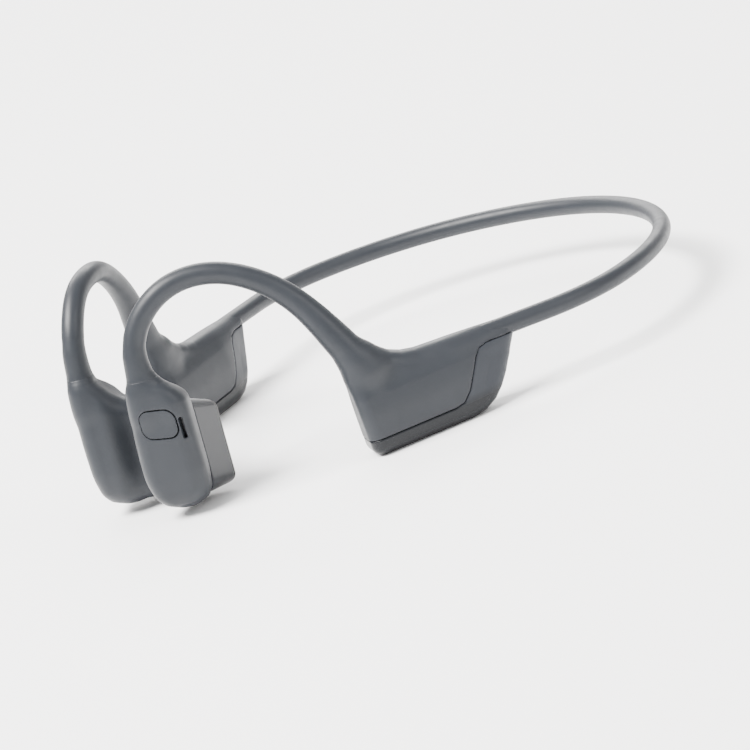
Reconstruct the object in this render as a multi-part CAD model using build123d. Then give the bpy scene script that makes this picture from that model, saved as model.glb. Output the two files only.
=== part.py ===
"""Bone conduction headphones: a sprung neckband, a housing behind each ear, an ear hook over
each ear and a transducer pod in front of it.

Millimetres. +X is the wearer's left, -Y is the front and +Z is up. The origin is on the
surface that the headphones stand on, under the middle of their box. Everything is laid out
from the rear centre of the neckband and moved to that origin when it is written. The left
side is modelled, and the right side is its mirror image, apart from what each holds.
"""

import os
from math import cos, radians, sin, tan

from build123d import *

# --- Where the layout's origin lies in the part's own frame
REAR_Y = 61.5
BAND_Z = 11.3

# --- Neckband: three tangent arcs a side in one plane, then a straight run to the housing
REAR_RADIUS, REAR_ANGLE = 56.0, 35.0
SIDE_RADIUS, SIDE_ANGLE = 47.0, 39.0
FRONT_RADIUS, FRONT_ANGLE = 28.0, 38.0
BAND_TILT = 2.0
BAND_OUTER_R = 1.8
SLEEVE_RUN = 9.8
LEAD_RUN = 13.0

# --- Core of the neckband and of each hook: a spring wire above a signal cable
WIRE_R, WIRE_OFFSET = 0.6, 0.72
CABLE_R, CABLE_OFFSET = 0.42, -0.85
BORE_PLAY = 0.02
BALL_PLAY = 0.3

# --- Ear hook: corners of a run of straights joined by tangent arcs
HOOK_POINTS = [
    (35.5, -87.7, 7.0),
    (29.5, -93.0, 23.0),
    (22.0, -100.0, 31.0),
    (16.0, -108.5, 32.5),
    (11.5, -115.5, 27.5),
    (10.5, -119.0, 19.5),
    (10.0, -119.5, 12.0),
]
HOOK_OUTER_R = 2.1
HOOK_ARC_SHARE = 0.45
HOOK_SEAM_Z = 16.0

# --- Housing: a plate in line with the band, seen from the side as (along, up)
HOUSING_ORIGIN = (37.8, -82.6)
HOUSING_HEADING = 68.0
HOUSING_BOTTOM = -11.3
HOUSING_HALF = 4.5
WALL = 1.2
CAP_LINE = -7.8
CELL_AT, CELL_SIZE = (3.0, 0.45, -4.6), (21.0, 4.4, 8.6)
CELL_BOARD_AT, CELL_BOARD_SIZE = (3.0, -2.4, -5.2), (18.0, 0.7, 7.5)
MAIN_BOARD_AT, MAIN_BOARD_SIZE = (3.5, -2.4, -5.2), (22.0, 0.7, 8.0)
SHIELD_AT, SHIELD_SIZE = (8.0, -1.4, -4.0), (8.0, 1.3, 5.0)
# Corners of the plate's outlines: (x, y, corner radius)
SIDE_OUTLINE = [
    (-9.6, HOUSING_BOTTOM, 2.0),
    (17.6, HOUSING_BOTTOM, 8.0),
    (23.0, 0.4, 0),
    (24.0, 3.9, 0),
    (-0.5, 5.3, 5.0),
    (-5.0, 12.0, 0),
    (-10.4, 10.2, 0),
    (-9.7, 3.0, 0),
]
END_OUTLINE = [
    (-HOUSING_HALF, HOUSING_BOTTOM, 2.2),
    (HOUSING_HALF, HOUSING_BOTTOM, 2.2),
    (HOUSING_HALF, -1.5, 6.0),
    (2.3, 6.0, 0),
    (1.8, 13.0, 0),
    (-4.0, 13.0, 0),
    (-3.2, 6.0, 0),
    (-HOUSING_HALF, -1.5, 6.0),
]
TOP_OUTLINE = [
    (-11.3, HOUSING_HALF + 0.2, 4.0),
    (14.0, HOUSING_HALF + 0.2, 8.0),
    (24.5, 2.2, 0),
    (24.5, -2.2, 0),
    (14.0, -HOUSING_HALF - 0.2, 8.0),
    (-11.3, -HOUSING_HALF - 0.2, 4.0),
]
CAP_OUTLINE = [
    (-14.0, CAP_LINE, 0),
    (9.5, CAP_LINE, 4.0),
    (15.2, 1.2, 2.0),
    (26.0, 1.2, 0),
    (26.0, -14.0, 0),
    (-14.0, -14.0, 0),
]
# Sections where it narrows up into the hook: (distance up, length, depth, corner radius)
NECK_SECTIONS = [(-4.0, 9.0, 6.0, 2.6), (4.5, 6.6, 5.6, 2.5), (8.0, 5.4, 5.2, 2.4), (11.0, 4.9, 4.9, 2.3)]

# --- Transducer pod, laid out from the end of the hook's centreline
POD_ORIGIN = (10.2, -119.7, 10.5)
POD_OUT = (0.5045, -0.8592, 0.0855)
POD_UP = (0.0, 0.0990, 0.9951)
POD_TURN = 12.0
POD_FACE = 3.0
POD_BACK = -4.0
BLOCK_END = -13.0
RIM_END = -13.6
PAD_END = -13.9
SHELL_EDGE_X = 7.5
SHELL_EDGE_SLANT = 31.0
# Sections of the shell from its neck to its foot: (up, low x, high x, low z, high z, corner)
SHELL_SECTIONS = [
    (6.4, -1.7, 3.1, -0.9, 3.7, 2.2),
    (4.2, -2.6, 4.6, -2.2, 3.6, 2.6),
    (2.2, -3.6, 6.6, -4.4, 3.4, 2.9),
    (0.4, -4.2, 7.9, -5.4, 3.1, 3.1),
    (-5.0, -4.4, 8.1, -5.6, POD_FACE, 3.2),
    (-12.0, -4.4, 8.1, -5.6, POD_FACE, 3.2),
    (-16.2, -3.6, 7.4, -5.4, 2.8, 3.1),
    (-18.6, -1.7, 5.8, -5.2, 2.2, 2.6),
    (-19.6, 0.3, 4.2, -5.0, 1.2, 1.6),
]
HOLLOW_SECTIONS = [
    (1.4, -2.2, 5.6, -7.0, 1.8, 1.2),
    (-5.0, -3.1, 6.8, -7.0, 1.8, 1.2),
    (-12.0, -3.1, 6.8, -7.0, 1.8, 1.2),
    (-15.6, -2.3, 6.1, -7.0, 1.5, 1.2),
    (-17.4, -0.8, 4.8, -7.0, 1.0, 1.2),
]
# Faces across the pod's depth: (x, y, width, height, corner)
WRAP_ROOT = (1.1, -8.8, 11.6, 19.4, 3.0)
WRAP_TIP = (0.8, -10.8, 10.8, 17.4, 3.0)
BLOCK_ROOT = (1.95, -8.9, 11.1, 19.2, 2.6)
BLOCK_TIP = (1.9, -11.0, 11.0, 16.2, 2.4)
PAD_FACE = (1.9, -11.0, 9.8, 15.0, 1.8)
SLOT_AT = (6.6, -4.0, 2.1)
SLOT_SIZE = (0.8, 4.2, 4.0)
SLOT_TURN = 35.0

# --- Transducer: its middle across the pod, and each piece's radius and span of depths
TRANSDUCER_AT = (1.9, -10.0)
YOKE_R, YOKE_SPAN, YOKE_WALL, YOKE_FLOOR = 4.4, (-10.2, -6.2), 0.7, 0.8
MAGNET_R, MAGNET_SPAN = 2.6, (-9.6, -7.0)
COIL_R, COIL_BORE_R, COIL_SPAN = 3.5, 2.9, (-10.6, -8.0)
SPRING_FACE, SPRING_SPAN = (1.9, -10.7, 8.2, 12.0, 1.2), (-11.5, -11.2)
BLOCK_WALL, BLOCK_FLOOR = 1.1, 1.0
SPEAKER_AT, SPEAKER_R, SPEAKER_DEPTH = (1.8, -12.4, -2.6), 3.0, 2.2
MICROPHONE_AT, MICROPHONE_SIZE = (5.2, -4.0, -0.2), (2.0, 3.4, 1.0)

# --- Buttons: each cap has a flange behind the wall, and a switch that it can press
BUTTON_PLAY = 0.3
BUTTON_PROUD = 0.2
FLANGE = 0.4
BUTTON_AT = (2.3, -2.3)
BUTTON_SIZE = (7.2, 5.6, 1.9)
BUTTON_FLANGE_SPAN = (0.9, 1.3)
SWITCH_DEPTH, SWITCH_SIZE = -0.1, (3.2, 3.2, 0.9)
KEY_SIZE = (4.4, 2.0, 0.95)
KEY_ALONG = {"volume_up": 5.8, "volume_down": 11.2}
KEY_RECESS = (11.0, 3.2, 0.5)
RECESS_CORNER = 0.4
KEY_FACE = HOUSING_BOTTOM + 0.2
KEY_FLANGE_GAP, KEY_FLANGE_DEPTH = 0.4, 0.45
KEY_SWITCH_UP, KEY_SWITCH_SIZE = -8.0, (3.2, 2.2, 1.2)

# --- Charging port and light
PORT_ALONG = -3.5
PORT_SIZE = (8.94, 3.2, 1.5)
PORT_DEPTH = 6.5
PORT_WALL = 0.3
TONGUE_SIZE = (6.7, 0.7, 4.5)
LIGHT_ALONG = 1.95
LIGHT_R = 0.45
LIGHT_LENGTH = 1.5


def heading(degrees):
    """Unit vector in the XY plane."""
    return Vector(cos(radians(degrees)), sin(radians(degrees)), 0)


def tilted(shape):
    """From the neckband's own plane into the layout."""
    return Rot(-BAND_TILT, 0, 0) * shape


def mirrored(shape):
    return mirror(shape, about=Plane.YZ)


def tube(path, radius, offset=0.0):
    """A round rod along a path, set off from it sideways in the path's own section."""
    start = Plane(origin=path @ 0, z_dir=path % 0)
    section = start * Pos(offset, 0) * Circle(radius)
    return sweep(section, path=path)


def cored(path, lead_path, outer_r):
    """A sleeve with its two bores, and the wire and cable that lie in them."""
    sleeve = tube(path, outer_r)
    sleeve -= tube(lead_path, WIRE_R + BORE_PLAY, WIRE_OFFSET)
    sleeve -= tube(lead_path, CABLE_R + BORE_PLAY, CABLE_OFFSET)
    wire = tube(lead_path, WIRE_R, WIRE_OFFSET)
    cable = tube(lead_path, CABLE_R, CABLE_OFFSET)
    return sleeve, wire, cable


def corner_radii(points):
    """The largest arc that the shorter run at each corner allows."""
    corners = [Vector(*p) for p in points]
    radii = []
    for before, corner, after in zip(corners, corners[1:], corners[2:]):
        run_in = corner - before
        run_out = after - corner
        turn = run_in.get_angle(run_out)
        shorter = min(run_in.length, run_out.length)
        radii.append(HOOK_ARC_SHARE * shorter / tan(radians(turn) / 2))
    return radii


def outline(points, plane=Plane.XY):
    """A closed face from (x, y, corner radius) points."""
    face = make_face(Polyline([(x, y) for x, y, r in points], close=True))
    for x, y, r in points:
        if r:
            corner = face.vertices().sort_by_distance((x, y, 0))[0]
            face = fillet(corner, r)
    return plane * face


def slab(face, direction, half):
    """A face carried the same distance both ways along a direction."""
    return extrude(face, amount=half, dir=direction, both=True)


# ------------------------------------------------------------------ neckband


def rear_band():
    """The rear arc, with a ball at each end that the side's sleeve turns about."""
    half = REAR_ANGLE
    path = CenterArc((0, -REAR_RADIUS), REAR_RADIUS, 90 - half, 2 * half)
    sleeve, wire, cable = cored(path, path, BAND_OUTER_R)
    return [tilted(shape) for shape in (sleeve, wire, cable)]


def side_path(last_run):
    """From the hinge forwards, along two arcs and a straight."""
    hinge = (REAR_RADIUS * sin(radians(REAR_ANGLE)), REAR_RADIUS * (cos(radians(REAR_ANGLE)) - 1))
    side = JernArc(hinge, heading(-REAR_ANGLE), SIDE_RADIUS, -SIDE_ANGLE)
    front = JernArc(side @ 1, side % 1, FRONT_RADIUS, -FRONT_ANGLE)
    run = Line(front @ 1, front @ 1 + (front % 1) * last_run)
    return Wire([side, front, run])


def side_band():
    """The side's sleeve, wire and cable, hollowed to clear the ball at the hinge."""
    sleeve, wire, cable = cored(side_path(SLEEVE_RUN), side_path(LEAD_RUN), BAND_OUTER_R)
    hinge = side_path(LEAD_RUN) @ 0
    ball = Pos(*hinge) * Sphere(BAND_OUTER_R + BALL_PLAY)
    return [tilted(shape - ball) for shape in (sleeve, wire, cable)]


# ------------------------------------------------------------------ ear hook


def hook_path():
    return FilletPolyline(*HOOK_POINTS, radius=corner_radii(HOOK_POINTS))


def ear_hook():
    """The sleeve stops at the pod's seam, and its wire and cable run on into the pod."""
    path = hook_path()
    sleeve, wire, cable = cored(path, path, HOOK_OUTER_R)
    below_seam = Pos(10, -119.5, HOOK_SEAM_Z - 10) * Box(12, 12, 20)
    return sleeve - below_seam, wire, cable


# ------------------------------------------------------------------ housing

ALONG = heading(HOUSING_HEADING)
OUTWARD = Vector(ALONG.Y, -ALONG.X, 0)
SIDE_PLANE = Plane(origin=(*HOUSING_ORIGIN, 0), x_dir=ALONG, z_dir=OUTWARD)
END_PLANE = Plane(origin=(*HOUSING_ORIGIN, 0), x_dir=OUTWARD, z_dir=-ALONG)
TOP_PLANE = Plane(origin=(*HOUSING_ORIGIN, 0), x_dir=ALONG, z_dir=(0, 0, 1))


def housing_solid(inset):
    """The plate, or with an inset the hollow that leaves walls of that thickness."""
    solid = slab(offset(outline(SIDE_OUTLINE), amount=-inset), (0, 0, 1), 10)
    solid = SIDE_PLANE * solid
    solid &= END_PLANE * slab(offset(outline(END_OUTLINE), amount=-inset), (0, 0, 1), 40)
    solid &= TOP_PLANE * slab(offset(outline(TOP_OUTLINE), amount=-inset), (0, 0, 1), 20)
    return solid


def neck():
    """Where the plate narrows up into the hook."""
    start = Vector(*HOOK_POINTS[0])
    rise = (Vector(*HOOK_POINTS[1]) - start).normalized()
    sections = []
    for distance, length, depth, corner in NECK_SECTIONS:
        plane = Plane(origin=start + rise * distance, x_dir=ALONG - rise * ALONG.dot(rise), z_dir=rise)
        sections.append(plane * RectangleRounded(length, depth, corner))
    return loft(sections)


def housing(sleeves):
    """The cover and the cap below its parting line, cleared for the two sleeves."""
    solid = housing_solid(0) + neck() - housing_solid(WALL)
    for sleeve in sleeves:
        solid -= sleeve
    lower = SIDE_PLANE * slab(outline(CAP_OUTLINE), (0, 0, 1), 10)
    return solid - lower, solid & lower


def in_housing(middle, size):
    """A box in the housing: (along, outward, up) of its middle, and (length, depth, height)."""
    along, outward, up = middle
    return TOP_PLANE * Pos(along, -outward, up) * Box(*size)


# ------------------------------------------------------------------ pod

# Local axes of the pod: x across, y up, z out from the head
POD_PLANE = Plane(
    origin=POD_ORIGIN,
    x_dir=Vector(*POD_UP).cross(Vector(*POD_OUT)),
    z_dir=POD_OUT,
)
SHELL_PLANE = POD_PLANE * Rot(0, POD_TURN, 0)


def stacked(sections):
    """A smooth solid through rounded rectangles that lie across the pod."""
    faces = []
    for up, low_x, high_x, low_z, high_z, corner in sections:
        middle = Pos((low_x + high_x) / 2, up, (low_z + high_z) / 2)
        face = RectangleRounded(high_x - low_x, high_z - low_z, corner)
        faces.append(SHELL_PLANE * middle * Rot(-90, 0, 0) * face)
    return loft(faces)


def pad_section(spec, z, inset=0.0):
    """A rounded rectangle that faces the head, at a depth in the pod."""
    x, y, width, height, corner = spec
    face = RectangleRounded(width - 2 * inset, height - 2 * inset, corner - inset / 2)
    return POD_PLANE * Pos(x, y, z) * face


def pad_layer(spec, low_z, high_z):
    return extrude(pad_section(spec, low_z), amount=high_z - low_z, dir=Vector(*POD_OUT))


def button_layer(grow, low_z, high_z):
    """A slice of the multifunction button, wider all round by an amount."""
    width, height, corner = BUTTON_SIZE
    face = RectangleRounded(width + 2 * grow, height + 2 * grow, corner + grow)
    return SHELL_PLANE * Pos(*BUTTON_AT, low_z) * extrude(face, amount=high_z - low_z)


def block_solid():
    return loft([pad_section(BLOCK_ROOT, POD_BACK), pad_section(BLOCK_TIP, BLOCK_END)])


def pod_shell(has_button):
    """The outer shell: it wraps round the block's front side and is open towards the head."""
    wrap = loft([pad_section(WRAP_ROOT, POD_BACK + 3), pad_section(WRAP_TIP, BLOCK_END + 0.5)])
    edge = POD_PLANE * Pos(SHELL_EDGE_X, 0, POD_BACK) * Rot(0, -SHELL_EDGE_SLANT, 0)
    behind = edge * Pos(0, 0, -15) * Box(80, 80, 30)
    hollow = stacked(HOLLOW_SECTIONS) - POD_PLANE * Pos(0, 0, POD_BACK - 10) * Box(60, 60, 20)
    shell = stacked(SHELL_SECTIONS) + wrap - behind - block_solid() - hollow
    shell -= tube(hook_path(), HOOK_OUTER_R)
    shell -= SHELL_PLANE * Pos(*SLOT_AT) * Rot(0, SLOT_TURN, 0) * Box(*SLOT_SIZE)
    if has_button:
        shell -= button_layer(BUTTON_PLAY, 0, 8)
    return shell


def pod_block():
    """The inner housing, a tapered cup whose floor carries the pad."""
    root = pad_section(BLOCK_ROOT, POD_BACK, BLOCK_WALL)
    floor = pad_section(BLOCK_TIP, BLOCK_END + BLOCK_FLOOR, BLOCK_WALL)
    hollow = loft([root, floor])
    return block_solid() - hollow


def disc(radius, low_z, high_z):
    """A round piece of the transducer, on the pod's inward axis."""
    middle = (low_z + high_z) / 2
    return POD_PLANE * Pos(*TRANSDUCER_AT, middle) * Cylinder(radius, high_z - low_z)


def pod(has_button):
    """Every piece of a pod, named without its side."""
    rim = pad_layer(BLOCK_TIP, RIM_END, BLOCK_END)
    yoke_low, yoke_high = YOKE_SPAN
    yoke_bore = disc(YOKE_R - YOKE_WALL, yoke_low, yoke_high - YOKE_FLOOR)
    return {
        "pod_shell": pod_shell(has_button),
        "pod_block": pod_block(),
        "pod_rim": rim - pad_layer(PAD_FACE, RIM_END, BLOCK_END),
        "contact_pad": pad_layer(PAD_FACE, PAD_END, BLOCK_END),
        "transducer_yoke": disc(YOKE_R, yoke_low, yoke_high) - yoke_bore,
        "transducer_magnet": disc(MAGNET_R, *MAGNET_SPAN),
        "transducer_coil": disc(COIL_R, *COIL_SPAN) - disc(COIL_BORE_R, *COIL_SPAN),
        "transducer_spring": pad_layer(SPRING_FACE, *SPRING_SPAN),
        "air_speaker": POD_PLANE * Pos(*SPEAKER_AT) * Cylinder(SPEAKER_R, SPEAKER_DEPTH),
        "microphone": SHELL_PLANE * Pos(*MICROPHONE_AT) * Box(*MICROPHONE_SIZE),
    }


def multifunction_button():
    """The button's cap, its flange behind the shell, and the switch below it."""
    flange_low, flange_high = BUTTON_FLANGE_SPAN
    cap = button_layer(0, flange_high, POD_FACE + BUTTON_PROUD)
    cap += button_layer(FLANGE, flange_low, flange_high)
    switch = SHELL_PLANE * Pos(*BUTTON_AT, SWITCH_DEPTH) * Box(*SWITCH_SIZE)
    return cap, switch


# ------------------------------------------------------------------ right housing's controls


def upright(face_size, along, low, high, grow=0.0):
    """A rounded bar that stands in the housing between two heights."""
    length, depth, corner = face_size
    face = RectangleRounded(length + 2 * grow, depth + 2 * grow, corner + grow)
    return TOP_PLANE * Pos(along, 0, low) * extrude(face, amount=high - low)


def volume_key(along):
    """A key's cap with its flange inside the wall, and its switch."""
    flange_low = HOUSING_BOTTOM + WALL + KEY_FLANGE_GAP
    cap = upright(KEY_SIZE, along, KEY_FACE, flange_low)
    cap += upright(KEY_SIZE, along, flange_low, flange_low + KEY_FLANGE_DEPTH, grow=FLANGE)
    switch = in_housing((along, 0, KEY_SWITCH_UP), KEY_SWITCH_SIZE)
    return cap, switch


def underside_cuts():
    """What is cut out of the right cap: the keys' recess and holes, the port and the light."""
    below = HOUSING_BOTTOM - 1
    through = HOUSING_BOTTOM + 2 * WALL
    length, depth, height = KEY_RECESS
    middle = sum(KEY_ALONG.values()) / 2
    cuts = [upright((length, depth, RECESS_CORNER), middle, below, HOUSING_BOTTOM + height)]
    for along in KEY_ALONG.values():
        cuts.append(upright(KEY_SIZE, along, below, through, grow=BUTTON_PLAY))
    cuts.append(upright(PORT_SIZE, PORT_ALONG, below, HOUSING_BOTTOM + PORT_DEPTH))
    cuts.append(light_guide(below, through))
    return cuts


def light_guide(low, high):
    """A rod that shows on the underside."""
    middle = (low + high) / 2
    return TOP_PLANE * Pos(LIGHT_ALONG, 0, middle) * Cylinder(LIGHT_R, high - low)


def port():
    """The charging receptacle: a shell open downwards, with a tongue inside it."""
    top = HOUSING_BOTTOM + PORT_DEPTH
    shell = upright(PORT_SIZE, PORT_ALONG, HOUSING_BOTTOM, top)
    back = top - 2 * PORT_WALL
    shell -= upright(PORT_SIZE, PORT_ALONG, HOUSING_BOTTOM, back, grow=-PORT_WALL)
    tongue = in_housing((PORT_ALONG, 0, back - TONGUE_SIZE[2] / 2), TONGUE_SIZE)
    return shell, tongue


def left_electronics():
    return {
        "battery_cell": in_housing(CELL_AT, CELL_SIZE),
        "battery_board": in_housing(CELL_BOARD_AT, CELL_BOARD_SIZE),
    }


def right_electronics():
    """Laid out on the left like the rest, and mirrored with it."""
    shell, tongue = port()
    pieces = {
        "main_board": in_housing(MAIN_BOARD_AT, MAIN_BOARD_SIZE),
        "radio_shield": in_housing(SHIELD_AT, SHIELD_SIZE),
        "port_shell": shell,
        "port_tongue": tongue,
        "charge_light": light_guide(HOUSING_BOTTOM, HOUSING_BOTTOM + LIGHT_LENGTH),
    }
    for name, along in KEY_ALONG.items():
        cap, switch = volume_key(along)
        pieces[name + "_button"] = cap
        pieces[name + "_switch"] = switch
    return pieces


# ------------------------------------------------------------------ assembly


def common_side(has_button):
    """The pieces that both sides have, in the left side's place."""
    band = side_band()
    hook = ear_hook()
    sleeves = [tilted(tube(side_path(LEAD_RUN), BAND_OUTER_R)), tube(hook_path(), HOOK_OUTER_R)]
    cover, cap = housing(sleeves)
    pieces = dict(zip(("band_sleeve", "band_wire", "band_cable"), band))
    pieces.update(zip(("hook_sleeve", "hook_wire", "hook_cable"), hook))
    pieces["housing_cover"] = cover
    pieces["housing_cap"] = cap
    pieces.update(pod(has_button))
    return pieces


def assembly():
    """Every node by name, in the part's own frame."""
    nodes = dict(zip(("rear_band_sleeve", "rear_band_wire", "rear_band_cable"), rear_band()))
    left = common_side(has_button=True)
    left.update(left_electronics())
    left["multifunction_button"], left["multifunction_switch"] = multifunction_button()
    right = common_side(has_button=False)
    for cut in underside_cuts():
        right["housing_cap"] -= cut
    right.update(right_electronics())
    for name, shape in left.items():
        shared = name in right
        nodes["left_" + name if shared else name] = shape
    for name, shape in right.items():
        shared = name in left
        nodes["right_" + name if shared else name] = mirrored(shape)
    return {name: Pos(0, REAR_Y, BAND_Z) * shape for name, shape in nodes.items()}


def main():
    os.makedirs("parts", exist_ok=True)
    for name, shape in assembly().items():
        export_step(shape, f"parts/{name}.step")


if __name__ == "__main__":
    main()
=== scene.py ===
"""Looks for the bone conduction headphones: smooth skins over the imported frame, materials,
light and camera.

The skins are level sets: each is a distance field in millimetres, in the layout that the model
is drawn in, turned into a mesh of quads by surface nets. The left side is built, and the right
side is its mirror image with its own port, keys and light.
"""

from math import cos, radians, sin

import bpy
import numpy as np
from mathutils import Matrix, Vector


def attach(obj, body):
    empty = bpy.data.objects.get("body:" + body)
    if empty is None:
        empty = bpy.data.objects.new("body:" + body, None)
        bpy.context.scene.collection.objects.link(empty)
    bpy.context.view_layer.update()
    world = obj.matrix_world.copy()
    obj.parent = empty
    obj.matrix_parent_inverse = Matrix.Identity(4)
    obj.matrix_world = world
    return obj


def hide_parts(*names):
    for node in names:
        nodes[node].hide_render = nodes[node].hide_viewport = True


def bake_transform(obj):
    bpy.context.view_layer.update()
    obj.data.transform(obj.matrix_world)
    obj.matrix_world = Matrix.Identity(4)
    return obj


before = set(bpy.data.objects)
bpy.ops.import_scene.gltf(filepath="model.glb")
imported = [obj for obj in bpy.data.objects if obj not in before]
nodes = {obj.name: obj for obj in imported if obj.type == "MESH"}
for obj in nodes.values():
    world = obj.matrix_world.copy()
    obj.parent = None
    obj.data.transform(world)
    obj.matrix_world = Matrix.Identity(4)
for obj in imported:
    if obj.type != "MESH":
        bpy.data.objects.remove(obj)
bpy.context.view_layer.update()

MM = 0.001
# The layout's origin in the row frame, in millimetres
LAYOUT = np.array([0.0, 61.5, 11.3])

# ------------------------------------------------------------------ sizes, in millimetres

BAND_ARCS = [(56.0, 35.0), (47.0, 39.0), (28.0, 38.0)]
BAND_TILT = 2.0
BAND_RUN = 13.0
BAND_R = 1.8
# The neckband's layers: (kind, radius, height above its centreline, finish, slot)
BAND_LAYERS = [
    ("sleeve", BAND_R, 0.0, "skin", "sleeve"),
    ("wire", 0.6, 0.72, "wire", "spring_wire"),
    ("cable", 0.42, -0.85, "cable", "cable"),
]

HOOK_POINTS = [
    (36.4, -87.3, 4.5),
    (34.2, -89.4, 11.1),
    (30.1, -92.3, 20.3),
    (25.9, -96.3, 26.7),
    (21.6, -100.8, 30.4),
    (17.7, -105.6, 31.7),
    (14.8, -110.3, 30.9),
    (12.4, -114.3, 28.1),
    (10.9, -117.3, 23.8),
    (10.6, -119.0, 17.8),
    (10.1, -119.7, 10.4),
]
HOOK_RADII = [3.4, 3.1, 2.45, 2.2, 2.12, 2.12, 2.14, 2.15, 2.18, 2.26, 2.5]

# Points along the hook's line: how many, how many lie near the housing and near the pod, and which
# stretch is a plain rod
HOOK_COUNT = 110
HOOK_NEAR_HOUSING, HOOK_NEAR_POD = 32, 34
HOOK_ROD = slice(18, -22)
# Points along the neckband's line that lie near the housing
BAND_NEAR_HOUSING = 24

HOUSING_ORIGIN = np.array([37.8, -82.6, 0.0])
HOUSING_HEADING = 68.0
HOUSING_SIDE = [
    (-9.6, -11.3),
    (11.0, -11.3),
    (13.6, -10.9),
    (16.0, -9.8),
    (18.1, -8.1),
    (20.0, -5.9),
    (21.9, -3.1),
    (23.8, 0.4),
    (25.3, 3.9),
    (9.0, 4.7),
    (5.0, 4.95),
    (2.4, 5.5),
    (0.2, 6.5),
    (-1.7, 7.9),
    (-3.4, 9.4),
    (-8.6, 8.6),
    (-9.5, 4.0),
]
HOUSING_CORNER = 2.2
# Half the plate's thickness, and its middle, up the plate; then half along it
HOUSING_HALF_UP = [(-12, 4.5), (-4, 4.5), (0, 4.1), (4, 2.9), (8, 2.7), (13, 2.7)]
HOUSING_MIDDLE_UP = [(-12, 0.0), (0, 0.0), (5, -0.4), (13, -1.1)]
HOUSING_TAPER = [(-12, 1.0), (10, 1.0), (16, 0.84), (20, 0.64), (25, 0.46)]
CAP_LINE = [(-14.0, -7.8), (7.6, -7.8), (9.6, -7.4), (11.4, -5.6), (14.6, -0.4), (15.8, 0.9), (17.6, 1.3)]
PARTING = 0.04
# How far the cap's rear leaf dips, and how far down its housing it starts to
LEAF_DIP, LEAF_LOW = 0.25, -10.0

# Underside of the right housing: places are along it, and sizes are halves
PORT_ALONG, PORT_HALF, PORT_CORNER, PORT_TOP = -3.5, (4.49, 1.62), 1.52, -4.0
RECESS_ALONG, RECESS_HALF, RECESS_CORNER, RECESS_TOP = 8.5, (5.5, 1.6), 0.5, -10.8
KEYS_ALONG, KEY_HALF, KEY_CORNER, KEY_TOP = (5.8, 11.2), (2.4, 1.2), 1.1, -9.0
LIGHT_ALONG, LIGHT_R, LIGHT_TOP = 1.95, 0.47, -9.0

POD_ORIGIN = np.array([10.2, -119.7, 10.5])
POD_OUT = np.array([0.5045, -0.8592, 0.0855])
POD_UP = np.array([0.0, 0.0990, 0.9951])
POD_TURN = radians(12.0)
POD_SEAM = 6.2
# Sections up the shell: (up, low x, high x, low z, high z, corner)
SHELL_SECTIONS = [
    (-19.7, 0.3, 4.2, -5.0, -0.6, 1.6),
    (-18.6, -1.7, 5.8, -5.2, 1.0, 2.6),
    (-16.2, -3.3, 7.4, -5.4, 2.2, 3.1),
    (-12.0, -4.0, 8.1, -5.6, 2.8, 3.2),
    (-5.0, -3.8, 8.1, -5.6, 3.0, 3.2),
    (0.6, -3.2, 8.0, -5.4, 3.0, 3.0),
    (3.0, -2.9, 6.6, -4.0, 2.8, 2.6),
    (5.0, -2.4, 4.0, -2.0, 2.4, 2.0),
]
SHELL_SPAN = (-19.65, 4.8)
# Faces across the pod's depth: (z, x, y, half width, half height, corner)
WRAP = [(-1.0, 1.5, -8.1, 5.4, 11.1, 3.8), (-12.5, 1.1, -10.9, 5.2, 9.2, 3.2)]
BLOCK = [(-4.0, 1.95, -8.95, 5.55, 9.65, 3.1), (-13.0, 1.9, -10.9, 5.5, 8.4, 2.1)]
# Rod from the hook into the pod's shoulder: (up, x, z, radius)
FLARE = [(10.5, 0.6, 0.1, 0.8), (6.5, 1.5, 0.1, 1.5), (3.4, 3.2, 0.0, 2.2), (-0.5, 4.6, -0.4, 2.7)]
# Where the shell's slanting edge crosses, as (x, z), and its slant in degrees
SHELL_EDGE, SHELL_SLANT = (7.5, -4.0), 31.0
BUTTON_MIDDLE = (2.35, -2.35)
BUTTON_HALF = (3.4, 2.7)
BUTTON_CORNER = 1.9
BUTTON_SKEW = 0.12
BUTTON_BACK = 1.3
POCKET_FLOOR = 0.75
GROOVE_DEPTH = 2.1
SLOT_AT = (6.6, -4.0)
SLOT_HALF = (0.36, 2.1)
SLOT_CORNER = 0.34
SLOT_SKEW = 0.02
SLOT_FLOOR = 0.6
# Depths into the pod where the wrap and the block start and end, and where the rim ends
WRAP_SPAN = (-1.0, -12.5)
BLOCK_SPAN = (-4.0, -13.0)
RIM_BACK = -13.6
PAD_MIDDLE, PAD_HALF, PAD_CORNER = (1.9, -11.0), (4.9, 7.5), 1.8
PAD_BACK = -13.8
PAD_CROWN = 0.12


# ------------------------------------------------------------------ fields


def smooth_min(a, b, k):
    h = np.clip(0.5 + 0.5 * (b - a) / k, 0, 1)
    return b * (1 - h) + a * h - k * h * (1 - h)


def smooth_max(a, b, k):
    return -smooth_min(-a, -b, k)


def rounded(a, b, r):
    """Where two slabs meet, with an edge of that radius."""
    u = np.maximum(a + r, 0)
    v = np.maximum(b + r, 0)
    return np.sqrt(u * u + v * v) + np.minimum(np.maximum(a, b) + r, 0) - r


def box_2d(x, y, half_x, half_y, corner):
    u = np.abs(x) - half_x + corner
    v = np.abs(y) - half_y + corner
    outside = np.sqrt(np.maximum(u, 0) ** 2 + np.maximum(v, 0) ** 2)
    return outside + np.minimum(np.maximum(u, v), 0) - corner


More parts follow.
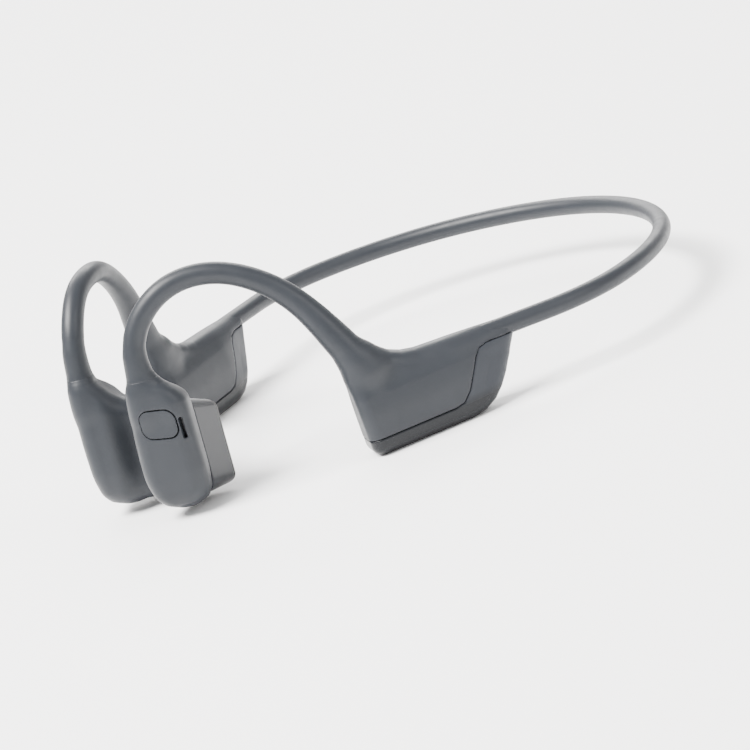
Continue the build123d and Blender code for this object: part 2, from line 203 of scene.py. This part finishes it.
def polygon(x, y, points):
    """Signed distance to a closed outline."""
    nearest = np.full_like(x, 1e9)
    inside = np.zeros(x.shape, bool)
    for (ax, ay), (bx, by) in zip(points, points[1:] + points[:1]):
        ex, ey = bx - ax, by - ay
        t = np.clip(((x - ax) * ex + (y - ay) * ey) / (ex * ex + ey * ey), 0, 1)
        nearest = np.minimum(nearest, (x - ax - t * ex) ** 2 + (y - ay - t * ey) ** 2)
        if ey:
            crosses = (ay > y) != (by > y)
            inside ^= crosses & (x < ax + (y - ay) * ex / ey)
    return np.where(inside, -1, 1) * np.sqrt(nearest)


def inset(points, r):
    """An outline with each of its edges moved inwards, for an outline with round corners."""
    corners = np.array(points, float)
    edge = np.roll(corners, -1, axis=0) - corners
    edge /= np.linalg.norm(edge, axis=1)[:, None]
    inward = np.stack([-edge[:, 1], edge[:, 0]], axis=1)
    moved = []
    for i, corner in enumerate(corners):
        first, second = inward[i - 1], inward[i]
        moved.append(tuple(corner + r * (first + second) / (1 + first.dot(second))))
    return moved


def tube(p, line, radii):
    """A rod along a run of points, whose radius changes along it."""
    nearest = np.full(p.shape[1:], 1e9, p.dtype)
    for a, b, ra, rb in zip(line, line[1:], radii, radii[1:]):
        e = b - a
        q = [p[i] - a[i] for i in range(3)]
        t = np.clip((q[0] * e[0] + q[1] * e[1] + q[2] * e[2]) / e.dot(e), 0, 1)
        gap = np.sqrt(sum((q[i] - t * e[i]) ** 2 for i in range(3)))
        nearest = np.minimum(nearest, gap - ra - t * (rb - ra))
    return nearest


def lerp(x, table):
    """A value that changes smoothly along a table of (place, value)."""
    places = [row[0] for row in table]
    fine = np.linspace(places[0], places[-1], 200)
    values = monotone_cubic(np.array(places, float), np.array([row[1] for row in table], float), fine)
    return np.interp(x, fine, values)


def monotone_cubic(knots, values, at):
    """Monotone cubic through the knots, so that it never overshoots."""
    width = np.diff(knots)
    slope = np.diff(values, axis=0) / width
    tangent = np.zeros_like(values)
    tangent[0], tangent[-1] = slope[0], slope[-1]
    same = slope[1:] * slope[:-1] > 0
    with np.errstate(divide="ignore", invalid="ignore"):
        mean = 2 * slope[1:] * slope[:-1] / (slope[1:] + slope[:-1])
    tangent[1:-1] = np.where(same, mean, 0)
    i = np.clip(np.searchsorted(knots, at) - 1, 0, len(width) - 1)
    t = (at - knots[i]) / width[i]
    h = width[i]
    return (
        values[i] * (1 + 2 * t) * (1 - t) ** 2
        + tangent[i] * h * t * (1 - t) ** 2
        + values[i + 1] * t * t * (3 - 2 * t)
        + tangent[i + 1] * h * t * t * (t - 1)
    )


def curve_through(points, count):
    """A cubic spline through points, continuous to its second derivative."""
    points = np.array(points, float)
    chord = np.linalg.norm(np.diff(points, axis=0), axis=1)
    knots = np.concatenate([[0], np.cumsum(np.sqrt(chord))])
    n = len(points)
    h = np.diff(knots)
    system = np.zeros((n, n))
    right = np.zeros((n, 3))
    system[0, 0] = system[-1, -1] = 1
    for i in range(1, n - 1):
        system[i, i - 1 : i + 2] = h[i - 1], 2 * (h[i - 1] + h[i]), h[i]
        right[i] = 6 * ((points[i + 1] - points[i]) / h[i] - (points[i] - points[i - 1]) / h[i - 1])
    bend = np.linalg.solve(system, right)
    at = np.linspace(0, knots[-1], count)
    i = np.clip(np.searchsorted(knots, at) - 1, 0, n - 2)
    a = ((knots[i + 1] - at) / h[i])[:, None]
    b = 1 - a
    hh = (h[i] ** 2)[:, None]
    line = a * points[i] + b * points[i + 1]
    line += ((a**3 - a) * bend[i] + (b**3 - b) * bend[i + 1]) * hh / 6
    return line, at / knots[-1], knots / knots[-1]


def band_line():
    """The neckband's centreline from the rear middle to the left housing, a point a millimetre."""
    points = [np.array([0.0, 0.0])]
    direction = 0.0
    for radius, angle in BAND_ARCS:
        steps = int(radius * radians(angle))
        turn = radians(angle) / steps
        for _ in range(steps):
            direction -= turn
            middle = direction + turn / 2
            step = 2 * radius * sin(turn / 2)
            points.append(points[-1] + step * np.array([cos(middle), sin(middle)]))
    for _ in range(int(BAND_RUN)):
        points.append(points[-1] + np.array([cos(direction), sin(direction)]))
    tilt = radians(BAND_TILT)
    return np.array([(x, y * cos(tilt), -y * sin(tilt)) for x, y in points])


HOOK_LINE, hook_at, hook_knots = curve_through(HOOK_POINTS, HOOK_COUNT)
HOOK_R = monotone_cubic(hook_knots, np.array(HOOK_RADII), hook_at)
BAND_LINE = band_line()

ALONG = np.array([cos(radians(HOUSING_HEADING)), sin(radians(HOUSING_HEADING)), 0])
OUTWARD = np.array([ALONG[1], -ALONG[0], 0])
UP = np.array([0.0, 0.0, 1.0])
HOUSING_AXES = np.array([ALONG, OUTWARD, UP])

POD_ACROSS = np.cross(POD_UP, POD_OUT)
POD_AXES = np.array([POD_ACROSS, POD_UP, POD_OUT])
SHELL_AXES = np.array(
    [
        cos(POD_TURN) * POD_ACROSS - sin(POD_TURN) * POD_OUT,
        POD_UP,
        cos(POD_TURN) * POD_OUT + sin(POD_TURN) * POD_ACROSS,
    ]
)


def to_layout(p, origin, axes):
    return [origin[i] + sum(p[j] * axes[j][i] for j in range(3)) for i in range(3)]


def change(p, axes_from, axes_to):
    """Coordinates in one set of axes to those in another with the same origin."""
    m = axes_to @ axes_from.T
    return [sum(m[i][j] * p[j] for j in range(3)) for i in range(3)]


def housing_body(p):
    """The plate with the band along its top edge and the hook's foot, before it is split."""
    s, o, z = p
    side = polygon(s, z, inset(HOUSING_SIDE, HOUSING_CORNER)) - HOUSING_CORNER
    half = lerp(z, HOUSING_HALF_UP) * lerp(s, HOUSING_TAPER)
    across = np.abs(o - lerp(z, HOUSING_MIDDLE_UP)) - half
    plate = rounded(side, across, 2.5)
    q = np.array(to_layout(p, HOUSING_ORIGIN, HOUSING_AXES))
    hook_radii = HOOK_R[:HOOK_NEAR_HOUSING] - np.linspace(0, 0.05, HOOK_NEAR_HOUSING)
    hook = tube(q, HOOK_LINE[:HOOK_NEAR_HOUSING], hook_radii)
    band_radii = np.linspace(BAND_R - 0.08, BAND_R - 0.3, BAND_NEAR_HOUSING)
    band = tube(q, BAND_LINE[-BAND_NEAR_HOUSING:], band_radii)
    return smooth_min(smooth_min(plate, hook, 2.6), band, 0.5)


def cap_side(p):
    """Negative below the parting line."""
    s, o, z = p
    line = CAP_LINE + [(30.0, 0.6), (30.0, -20.0), (-14.0, -20.0)]
    return polygon(s, z, line)


def cover_field(p):
    cuts = np.maximum(p[2] - 19.0, p[0] - 27.5)
    whole = np.maximum(housing_body(p), cuts)
    return smooth_max(whole, PARTING - cap_side(p), 0.15)


def cap_field(p):
    """The cap stands a little below the cover, and dips along the leaf at its rear."""
    line = cap_side(p)
    leaf = np.clip((p[2] - LEAF_LOW) / 6.0, 0, 1) * np.clip(-line / 3.0, 0, 1)
    return smooth_max(housing_body(p) + 0.04 + LEAF_DIP * leaf, line + PARTING, 0.3)


def underside_cuts(p):
    """The charging port, the keys' recess and holes, and the light's hole."""
    s, o, z = p
    port = np.maximum(box_2d(s - PORT_ALONG, o, *PORT_HALF, PORT_CORNER), z - PORT_TOP)
    recess = np.maximum(box_2d(s - RECESS_ALONG, o, *RECESS_HALF, RECESS_CORNER), z - RECESS_TOP)
    first, second = [box_2d(s - along, o, *KEY_HALF, KEY_CORNER) for along in KEYS_ALONG]
    keys = np.maximum(np.minimum(first, second), z - KEY_TOP)
    light = np.maximum(np.sqrt((s - LIGHT_ALONG) ** 2 + o * o) - LIGHT_R, z - LIGHT_TOP)
    return np.minimum(np.minimum(port, recess), np.minimum(keys, light))


def right_cap_field(p):
    return smooth_max(cap_field(p), -underside_cuts(p), 0.12)


def layered(p, sections):
    """A block between two faces across the pod's depth."""
    x, y, z = p
    (z0, *first), (z1, *last) = sections
    t = (z - z0) / (z1 - z0)
    cx, cy, hx, hy, corner = [a + (b - a) * t for a, b in zip(first, last)]
    return box_2d(x - cx, y - cy, hx, hy, corner)


def shell_stack(p):
    """Rounded sections up the pod, in the shell's own axes."""
    x, y, z = p
    low_x, high_x, low_z, high_z, corner = [
        lerp(y, [(row[0], row[i]) for row in SHELL_SECTIONS]) for i in range(1, 6)
    ]
    middle_x, half_x = (low_x + high_x) / 2, (high_x - low_x) / 2
    middle_z, half_z = (low_z + high_z) / 2, (high_z - low_z) / 2
    section = box_2d(x - middle_x, z - middle_z, half_x, half_z, corner)
    return smooth_max(section, np.maximum(SHELL_SPAN[0] - y, y - SHELL_SPAN[1]), 1.4)


def button_outline(p):
    """A rounded oblong whose long sides lean a little."""
    x, y, _ = p
    skewed = y - BUTTON_MIDDLE[1] + BUTTON_SKEW * (x - 2)
    return box_2d(x - BUTTON_MIDDLE[0], skewed, *BUTTON_HALF, BUTTON_CORNER)


def shell_outside(p):
    """The pod's whole skin: its front, the wrap round the block and the flare up to the hook."""
    inner = change(p, SHELL_AXES, POD_AXES)
    wrap = layered(inner, WRAP)
    wrap = rounded(wrap, np.maximum(inner[2] - WRAP_SPAN[0], WRAP_SPAN[1] - inner[2]), 1.6)
    q = np.array(to_layout(p, POD_ORIGIN, SHELL_AXES))
    hook_radii = HOOK_R[-HOOK_NEAR_POD:] - np.linspace(0.05, 0, HOOK_NEAR_POD)
    hook = tube(q, HOOK_LINE[-HOOK_NEAR_POD:], hook_radii)
    flare_line = [np.array((x, up, z)) for up, x, z, r in FLARE]
    flare = tube(np.array(p), flare_line, [r for up, x, z, r in FLARE])
    body = smooth_min(shell_stack(p), wrap, 2.0)
    return smooth_min(smooth_min(body, flare, 1.6), hook, 2.4)


def shell_field(p, has_button):
    """The pod's skin, cut away for the block, the slot and the button."""
    inner = change(p, SHELL_AXES, POD_AXES)
    outside = shell_outside(p)
    x, z = SHELL_EDGE
    slant = radians(SHELL_SLANT)
    edge = (inner[0] - x) * sin(slant) - (inner[2] - z) * cos(slant)
    block = np.maximum(layered(inner, BLOCK) - PARTING, inner[2] - BLOCK_SPAN[0])
    shell = smooth_max(outside, edge, 0.5)
    shell = smooth_max(shell, -block, 0.2)
    slot_y = p[1] - SLOT_AT[1]
    slot_x = p[0] - SLOT_AT[0] + SLOT_SKEW * slot_y
    slot = np.maximum(box_2d(slot_x, slot_y, *SLOT_HALF, SLOT_CORNER), SLOT_FLOOR - p[2])
    shell = smooth_max(shell, -slot, 0.12)
    if has_button:
        outline = button_outline(p)
        # The groove is narrowest at the button's far side
        width = 0.04 + 0.17 * np.clip((p[0] + 1.6) / 3.0, 0, 1)
        groove = np.maximum(np.abs(outline) - width, -(outside + GROOVE_DEPTH))
        shell = smooth_max(shell, -groove, 0.1)
        shell = np.maximum(shell, -np.maximum(outline, POCKET_FLOOR - p[2]))
    return np.maximum(shell, p[1] - POD_SEAM)


def foot_field(p):
    """Where the hook widens into the pod. It runs on a little inside the pod, past the seam."""
    tucked = 0.05 * np.clip((POD_SEAM + 0.1 - p[1]) / 0.1, 0, 1)
    cuts = np.maximum(POD_SEAM - 0.8 - p[1], p[1] - 15.0)
    return np.maximum(shell_outside(p) + tucked, cuts)


def button_field(p):
    outline = button_outline(p) + 0.02
    return smooth_max(np.maximum(shell_outside(p) - 0.04, outline), BUTTON_BACK - p[2], 0.1)


def block_field(p):
    edge = np.maximum(p[2] - BLOCK_SPAN[0], BLOCK_SPAN[1] - p[2])
    return rounded(layered(p, BLOCK), edge, 0.25)


def rim_field(p):
    edge = np.maximum(p[2] - BLOCK_SPAN[1], RIM_BACK - p[2])
    return rounded(layered(p, BLOCK) + 0.05, edge, 0.2)


def pad_field(p):
    """The face on the cheekbone, slightly crowned."""
    x, y = p[0] - PAD_MIDDLE[0], p[1] - PAD_MIDDLE[1]
    crown = PAD_CROWN * (1 - np.clip((x / PAD_HALF[0]) ** 2 + (y / PAD_HALF[1]) ** 2, 0, 1))
    edge = np.maximum(p[2] - BLOCK_SPAN[1], PAD_BACK - crown - p[2])
    return rounded(box_2d(x, y, *PAD_HALF, PAD_CORNER), edge, 0.35)


# ------------------------------------------------------------------ meshes


def surface_net(field, low, high, cell):
    """The field's zero surface as quads: one point a crossed cell, then moved onto the surface."""
    counts = [int((b - a) / cell) + 1 for a, b in zip(low, high)]
    axes = [a + cell * np.arange(n, dtype=np.float32) for a, n in zip(low, counts)]
    values = np.empty(counts, np.float32)
    for i, x in enumerate(np.array_split(np.arange(counts[0]), max(1, counts[0] // 24))):
        grid = np.meshgrid(axes[0][x], axes[1], axes[2], indexing="ij")
        values[x] = field(grid)
    inside = values < 0
    cells, spots, quads = [], [], []
    strides = np.array([counts[1] * counts[2], counts[2], 1])
    for axis in range(3):
        near = [slice(None)] * 3
        far = [slice(None)] * 3
        near[axis], far[axis] = slice(None, -1), slice(1, None)
        near, far = tuple(near), tuple(far)
        crossing = np.argwhere(inside[near] != inside[far])
        others = [a for a in range(3) if a != axis]
        crossing = crossing[np.all(crossing[:, others] > 0, axis=1)]
        a = values[near][tuple(crossing.T)]
        b = values[far][tuple(crossing.T)]
        spot = crossing.astype(np.float64)
        spot[:, axis] += a / (a - b)
        corner = []
        for du, dv in ((0, 0), (1, 0), (1, 1), (0, 1)):
            cell_at = crossing.copy()
            cell_at[:, others[0]] -= du
            cell_at[:, others[1]] -= dv
            corner.append(cell_at @ strides)
            cells.append(corner[-1])
            spots.append(spot)
        ring = np.stack(corner, axis=1)
        flip = (a < 0) == (axis == 1)
        ring[flip] = ring[flip][:, ::-1]
        quads.append(ring)
    cells = np.concatenate(cells)
    spots = np.concatenate(spots)
    used, where = np.unique(cells, return_inverse=True)
    where = where.ravel()
    share = np.bincount(where)
    points = np.stack([np.bincount(where, spots[:, i]) / share for i in range(3)], axis=1)
    points = np.array(low) + cell * points
    faces = np.searchsorted(used, np.concatenate(quads))
    step = 0.02
    for _ in range(3):
        here = field(list(points.T))
        beside = [field(list((points + step * np.eye(3)[i]).T)) for i in range(3)]
        slope = np.stack([value - here for value in beside], axis=1) / step
        move = here[:, None] * slope / np.maximum((slope**2).sum(1), 0.3)[:, None]
        points = points - np.clip(move, -0.5 * cell, 0.5 * cell)
    return points, faces


def add_mesh(name, points, faces, mirror=False, sharp=38.0):
    """Points in the layout, in millimetres, become an object in the row frame."""
    points = (np.asarray(points, float) + LAYOUT) * MM
    faces = np.asarray(faces)
    if mirror:
        points = points * np.array([-1, 1, 1])
        faces = faces[:, ::-1]
    mesh = bpy.data.meshes.new(name)
    mesh.from_pydata(points.tolist(), [], faces.tolist())
    mesh.polygons.foreach_set("use_smooth", [True] * len(mesh.polygons))
    mesh.update()
    mesh.set_sharp_from_angle(angle=radians(sharp))
    obj = bpy.data.objects.new(name, mesh)
    bpy.context.scene.collection.objects.link(obj)
    return obj


def finish_piece(obj, material, slot, body, *replaced):
    """Give a piece its material, the body it rides on if it has one, and what it replaces; its slot is not
    used.
    """
    obj.data.materials.append(material)
    if body:
        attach(obj, body)
    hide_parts(*replaced)


def swept(line, radii, sides=36):
    """A round tube along a line, with rings that don't twist."""
    line = np.asarray(line)
    tangent = np.gradient(line, axis=0)
    tangent /= np.linalg.norm(tangent, axis=1)[:, None]
    normal = np.cross(tangent[0], UP)
    points, faces = [], []
    angles = np.linspace(0, 2 * np.pi, sides, endpoint=False)
    for i, (p, t) in enumerate(zip(line, tangent)):
        normal = normal - t * normal.dot(t)
        normal /= np.linalg.norm(normal)
        side = np.cross(t, normal)
        points.extend(p + radii[i] * (np.cos(angles)[:, None] * normal + np.sin(angles)[:, None] * side))
    for i in range(len(line) - 1):
        for j in range(sides):
            k = (j + 1) % sides
            faces.append((i * sides + j, i * sides + k, (i + 1) * sides + k, (i + 1) * sides + j))
    return np.array(points), np.array(faces)


# ------------------------------------------------------------------ materials


class Graph:
    """A material's nodes, added and linked in few words."""

    def __init__(self, name):
        self.material = bpy.data.materials.new(name)
        self.material.use_nodes = True
        self.tree = self.material.node_tree
        self.shader = next(n for n in self.tree.nodes if n.type == "BSDF_PRINCIPLED")
        self.place = self.add("ShaderNodeTexCoord").outputs["Object"]

    def add(self, kind, **inputs):
        node = self.tree.nodes.new(kind)
        for key, value in inputs.items():
            node.inputs[key].default_value = value
        return node

    def link(self, source, target):
        self.tree.links.new(source, target)

    def noise(self, scale, detail=2.0, rough=0.5):
        node = self.add("ShaderNodeTexNoise", Scale=scale, Detail=detail, Roughness=rough)
        self.link(self.place, node.inputs["Vector"])
        return node.outputs["Fac"]

    def spread(self, source, low, high, start=0.3, end=0.7):
        node = self.add("ShaderNodeMapRange")
        for key, value in (("From Min", start), ("From Max", end), ("To Min", low), ("To Max", high)):
            node.inputs[key].default_value = value
        self.link(source, node.inputs["Value"])
        return node.outputs["Result"]

    def colours(self, source, first, last):
        node = self.add("ShaderNodeValToRGB")
        ramp = node.color_ramp
        ramp.elements[0].position, ramp.elements[1].position = 0.3, 0.7
        ramp.elements[0].color = (*first, 1)
        ramp.elements[1].color = (*last, 1)
        self.link(source, node.inputs["Fac"])
        self.link(node.outputs["Color"], self.shader.inputs["Base Color"])

    def bump(self, source, strength, distance):
        node = self.add("ShaderNodeBump", Strength=strength, Distance=distance)
        self.link(source, node.inputs["Height"])
        self.link(node.outputs["Normal"], self.shader.inputs["Normal"])


def finish_of(name, colour, change, rough, grain_scale, grain, coat=0.0, metallic=0.0, specular=0.5):
    """A moulded or metal surface: mottled colour, uneven gloss and a fine grain."""
    g = Graph(name)
    darker = tuple(c * (1 - change) for c in colour)
    lighter = tuple(min(1, c * (1 + change)) for c in colour)
    g.colours(g.noise(140, 3), darker, lighter)
    g.link(g.spread(g.noise(420, 4, 0.6), rough * 0.9, rough * 1.12), g.shader.inputs["Roughness"])
    g.bump(g.noise(grain_scale, 3, 0.6), 0.35, grain)
    g.shader.inputs["Metallic"].default_value = metallic
    g.shader.inputs["Coat Weight"].default_value = coat
    g.shader.inputs["Coat Roughness"].default_value = 0.06
    g.shader.inputs["Specular IOR Level"].default_value = specular
    return g.material


# Heights in metres over which the painted shade along the cap's bottom gives way to its leaf's own colour
PAINTED_SHADE_FADE = (0.0032, 0.0048)


def cap_finish_with_painted_shade(name, leaf, painted_shade):
    """Moulded cap: a satin leaf at the rear, and along the bottom a glossier part whose darker colour is
    painted shade.
    """
    g = Graph(name)
    height = g.add("ShaderNodeSeparateXYZ")
    g.link(g.place, height.inputs["Vector"])
    # Painted shade: a mask by height, the darker colour low on the cap and its own colour above
    band = g.spread(height.outputs["Z"], 0, 1, *PAINTED_SHADE_FADE)
    mix = g.add("ShaderNodeMix")
    mix.data_type = "RGBA"
    low, high = [socket for socket in mix.inputs if socket.type == "RGBA"]
    low.default_value, high.default_value = (*painted_shade, 1), (*leaf, 1)
    g.link(band, mix.inputs["Factor"])
    g.link(next(o for o in mix.outputs if o.type == "RGBA"), g.shader.inputs["Base Color"])
    g.link(g.spread(band, 0.26, 0.44, 0, 1), g.shader.inputs["Roughness"])
    g.shader.inputs["Specular IOR Level"].default_value = 0.25
    g.bump(g.noise(5600, 3, 0.6), 0.3, 0.000008)
    return g.material


def wound(name, colour, pitch):
    """Fine wire wound round the pod's inward axis."""
    g = Graph(name)
    g.colours(g.noise(300, 2), tuple(c * 0.8 for c in colour), colour)
    wave = g.add("ShaderNodeTexWave", Scale=1 / (pitch * 6.28), Distortion=0.4)
    g.link(g.place, wave.inputs["Vector"])
    g.bump(wave.outputs["Fac"], 0.6, 0.00005)
    g.shader.inputs["Metallic"].default_value = 0.9
    g.shader.inputs["Roughness"].default_value = 0.35
    return g.material


SLATE = (0.017, 0.0195, 0.024)
MATERIALS = {
    "skin": finish_of("silicone_slate", SLATE, 0.05, 0.42, 5200, 0.00001, specular=0.3),
    # The cap's darker second colour is painted shade for its underside
    "cap": cap_finish_with_painted_shade("cap_plastic", (0.021, 0.024, 0.03), (0.007, 0.008, 0.01)),
    "key": finish_of("key_plastic", (0.016, 0.018, 0.022), 0.05, 0.36, 6000, 0.000006),
    "gloss": finish_of("gloss_plastic", (0.009, 0.0105, 0.014), 0.04, 0.24, 3000, 0.000001, specular=0.16),
    "rim": finish_of("rim_plastic", (0.004, 0.004, 0.004), 0.1, 0.2, 3000, 0.000001, specular=0.3),
    "pad": finish_of("pad_silicone", (0.016, 0.018, 0.021), 0.08, 0.5, 7000, 0.00001, specular=0.3),
    "wire": finish_of("titanium_wire", (0.55, 0.55, 0.54), 0.06, 0.3, 9000, 0.000004, metallic=1.0),
    "cable": finish_of("cable_jacket", (0.02, 0.02, 0.021), 0.1, 0.4, 6000, 0.000004),
    "switch": finish_of("switch_steel", (0.62, 0.61, 0.58), 0.06, 0.28, 8000, 0.000003, metallic=1.0),
    "board": finish_of("solder_resist", (0.012, 0.09, 0.035), 0.15, 0.3, 4000, 0.000008, coat=0.3),
    "coil": wound("coil_wire", (0.75, 0.33, 0.13), 0.0001),
    "cell": finish_of("pouch_foil", (0.66, 0.67, 0.69), 0.04, 0.32, 2500, 0.00002, metallic=0.9),
    "steel": finish_of("plated_steel", (0.58, 0.58, 0.6), 0.05, 0.25, 7000, 0.000004, metallic=1.0),
    "shield": finish_of("shield_can", (0.6, 0.6, 0.62), 0.05, 0.27, 6000, 0.000004, metallic=1.0),
    "light": finish_of("light_guide", (0.75, 0.78, 0.82), 0.03, 0.25, 5000, 0.000003, coat=0.3),
}
NODE_FINISH = {
    "_wire": "wire",
    "_cable": "cable",
    "_switch": "switch",
    "_board": "board",
    "transducer_coil": "coil",
    "transducer": "steel",
    "battery_cell": "cell",
    "port_shell": "shield",
    "radio_shield": "shield",
    "port_tongue": "cable",
    "charge_light": "light",
    "microphone": "steel",
    "air_speaker": "steel",
    "pod_rim": "rim",
    "volume_up_button": "key",
    "volume_down_button": "key",
}
for name, node in nodes.items():
    finish = next((v for k, v in NODE_FINISH.items() if k in name), "skin")
    node.data.materials.clear()
    node.data.materials.append(MATERIALS[finish])

# ------------------------------------------------------------------ camera, light and floor

CAMERA_AT = np.array([878.6, -609.7, 263.6])
CAMERA_AXES = ((0.5700, 0.7505, -0.3344), (-0.0200, 0.4195, 0.9075), (0.8214, -0.5106, 0.2541))
TARGET = Vector((0, 0, 0.02))


def add_camera():
    data = bpy.data.cameras.new("camera")
    data.lens = 264
    data.sensor_width = 36
    data.clip_start, data.clip_end = 0.05, 20
    camera = bpy.data.objects.new("camera", data)
    bpy.context.scene.collection.objects.link(camera)
    right, up, back = [Vector(a).normalized() for a in CAMERA_AXES]
    back = right.cross(up).normalized()
    up = back.cross(right)
    turn = Matrix((right, up, back)).transposed().to_4x4()
    camera.matrix_world = Matrix.Translation(Vector((CAMERA_AT + LAYOUT) * MM)) @ turn
    bpy.context.scene.camera = camera


def add_light(name, at, size, power, warmth=1.0):
    data = bpy.data.lights.new(name, "AREA")
    data.shape = "RECTANGLE"
    data.size, data.size_y = size
    data.energy = power
    data.color = (1.0, 0.985 * warmth, 0.97 * warmth)
    lamp = bpy.data.objects.new(name, data)
    bpy.context.scene.collection.objects.link(lamp)
    lamp.location = at
    lamp.rotation_euler = (TARGET - Vector(at)).to_track_quat("-Z", "Y").to_euler()


def add_floor():
    """A wide sheet that curves up behind the object, away from the camera."""
    profile = [(-3.0, 0.0)]
    profile += [(1.6 + 1.0 * sin(radians(a)), 1.0 - 1.0 * cos(radians(a))) for a in range(0, 91, 6)]
    profile += [(2.6, 3.5)]
    away = Vector((-0.849, 0.528, 0)).normalized()
    side = Vector((away.y, -away.x, 0))
    points = [away * d + side * w + Vector((0, 0, h)) for d, h in profile for w in (-5, 5)]
    faces = [(2 * i, 2 * i + 1, 2 * i + 3, 2 * i + 2) for i in range(len(profile) - 1)]
    mesh = bpy.data.meshes.new("floor")
    mesh.from_pydata(points, [], faces)
    mesh.polygons.foreach_set("use_smooth", [True] * len(mesh.polygons))
    floor = bpy.data.objects.new("floor", mesh)
    bpy.context.scene.collection.objects.link(floor)
    g = Graph("floor")
    g.colours(g.noise(3, 2), (0.93, 0.93, 0.93), (0.95, 0.95, 0.95))
    g.shader.inputs["Roughness"].default_value = 0.9
    g.shader.inputs["Specular IOR Level"].default_value = 0.1
    mesh.materials.append(g.material)


def add_world():
    world = bpy.data.worlds.new("studio")
    world.use_nodes = True
    background = next(n for n in world.node_tree.nodes if n.type == "BACKGROUND")
    background.inputs["Color"].default_value = (1, 1, 1, 1)
    background.inputs["Strength"].default_value = 0.95
    bpy.context.scene.world = world


# ------------------------------------------------------------------ pieces


def in_layout(points, origin, axes):
    """From a part's own axes to the layout."""
    return origin + points @ axes


def add_band():
    """The neckband's skin, spring wire and cable, each a left half and its mirror image."""
    above = np.array([0, sin(radians(BAND_TILT)), cos(radians(BAND_TILT))])
    for kind, radius, offset, finish, slot in BAND_LAYERS:
        line = BAND_LINE + offset * above
        half = swept(line, [radius] * len(line))
        for side, mirror in (("left", False), ("right", True)):
            obj = add_mesh(f"{side}_band_{kind}_skin", *half, mirror)
            replaced = [f"{side}_band_{kind}"] + ([f"rear_band_{kind}"] if side == "left" else [])
            finish_piece(obj, MATERIALS[finish], slot, None, *replaced)
            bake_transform(obj)


def both_sides(name, points, faces, finish, slot, replaced):
    """A left piece and its mirror image, each in the place of that side's own node."""
    for side, mirror in (("left", False), ("right", True)):
        obj = add_mesh(f"{side}_{name}", points, faces, mirror)
        finish_piece(obj, MATERIALS[finish], slot, f"{side}_side", f"{side}_{replaced}")


def housing_mesh(field, low, high, cell):
    """A surface in the layout. The housing's axes are left-handed, so its faces are turned over."""
    points, faces = surface_net(field, low, high, cell)
    return in_layout(points, HOUSING_ORIGIN, HOUSING_AXES), faces[:, ::-1]


def add_housings():
    """The covers, which are mirror images, and the caps, of which only the right has openings."""
    points, faces = housing_mesh(cover_field, (-13, -7, -12), (28, 6.5, 20), 0.25)
    both_sides("cover_skin", points, faces, "skin", "cover", "housing_cover")
    for side, field in (("left", cap_field), ("right", right_cap_field)):
        points, faces = housing_mesh(field, (-13, -6, -12), (27, 6, 3), 0.17)
        obj = add_mesh(f"{side}_cap_skin", points, faces, side == "right")
        finish_piece(obj, MATERIALS["cap"], "cap", f"{side}_side", f"{side}_housing_cap")


def add_hooks():
    """The round sleeve over each ear, and its foot on the pod."""
    low, high = (-5, POD_SEAM - 1.2, -6), (6, 15.5, 5)
    foot, foot_faces = surface_net(foot_field, low, high, 0.2)
    rod, rod_faces = swept(HOOK_LINE[HOOK_ROD], HOOK_R[HOOK_ROD], 48)
    points = np.concatenate([rod, in_layout(foot, POD_ORIGIN, SHELL_AXES)])
    faces = np.concatenate([rod_faces, foot_faces + len(rod)])
    both_sides("hook_skin", points, faces, "skin", "sleeve", "hook_sleeve")


# Plain layers of each pod: (kind, field, finish, slot, replaced node, box's low and high corners, cell)
POD_LAYERS = [
    ("block", block_field, "gloss", "gloss_shell", "pod_block", (-5, -21, -13.6), (8.5, 2, -3.4), 0.2),
    ("rim", rim_field, "rim", "rim", "pod_rim", (-5, -21, -14.2), (8.5, -1, -12.4), 0.2),
    ("pad", pad_field, "pad", "pad", "contact_pad", (-4, -19.5, -14.4), (8, -2.5, -12.6), 0.18),
]


def add_pods():
    """Each pod's skin, the button in the left one, and the layers that are the same on both."""
    low, high = (-6.5, -21, -14.5), (10.5, 7, 5)
    for side, mirror in (("left", False), ("right", True)):
        points, faces = surface_net(lambda p: shell_field(p, side == "left"), low, high, 0.16)
        obj = add_mesh(f"{side}_pod_skin", in_layout(points, POD_ORIGIN, SHELL_AXES), faces, mirror)
        finish_piece(obj, MATERIALS["skin"], "pod_skin", f"{side}_side", f"{side}_pod_shell")
    points, faces = surface_net(button_field, (-2.5, -6.5, 0.5), (7, 2, 5), 0.12)
    obj = add_mesh("button_skin", in_layout(points, POD_ORIGIN, SHELL_AXES), faces)
    finish_piece(obj, MATERIALS["skin"], "button", "multifunction_key", "multifunction_button")
    for kind, field, finish, slot, replaced, low, high, cell in POD_LAYERS:
        points, faces = surface_net(field, low, high, cell)
        placed = in_layout(points, POD_ORIGIN, POD_AXES)
        both_sides(f"{kind}_skin", placed, faces, finish, slot, replaced)



add_camera()
add_world()
add_floor()
add_light("key", (-0.2, -0.9, 1.5), (1.2, 0.8), 140)
add_light("fill", (1.6, 0.5, 1.0), (1.0, 1.0), 14)
add_light("back", (-1.2, 0.9, 1.0), (1.6, 0.8), 40)
add_band()
add_hooks()
add_housings()
add_pods()
